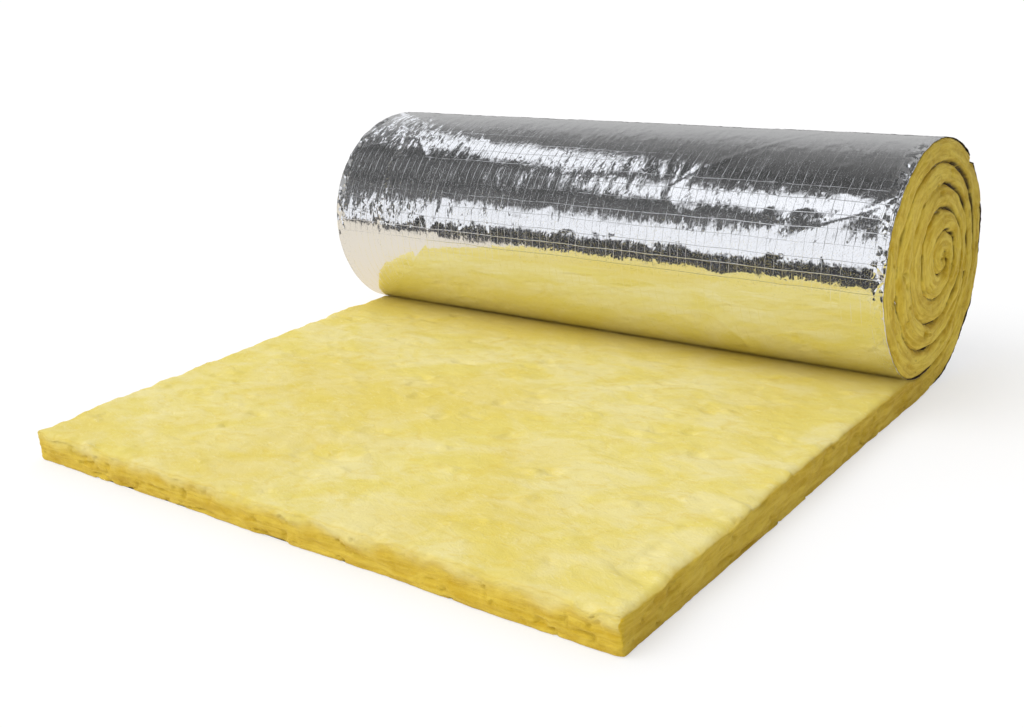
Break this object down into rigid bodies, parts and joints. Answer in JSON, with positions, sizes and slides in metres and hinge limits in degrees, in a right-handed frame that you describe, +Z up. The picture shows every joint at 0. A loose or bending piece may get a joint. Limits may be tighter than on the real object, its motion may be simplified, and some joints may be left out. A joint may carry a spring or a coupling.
{
  "type": "insulation roll",
  "caption": "Foil-faced glass wool blanket, wound into a roll at the back with its free end lying flat in front, wool side up.",
  "frame": {"origin": "on the floor, in the middle of the whole object's outline", "axes": "+X along the roll, +Y from the free edge towards the roll, +Z up"},
  "size_m": [1.2, 1.2144, 0.4414],
  "materials": {
    "glass_wool": "pale straw-yellow bonded glass wool, soft and fibrous, matt",
    "foil": "bright crinkled foil facing with a fine reinforcing scrim showing through"
  },
  "bodies": {
    "root": {"wool_blanket": "glass_wool", "foil_facing": "foil"}
  },
  "joints": []
}
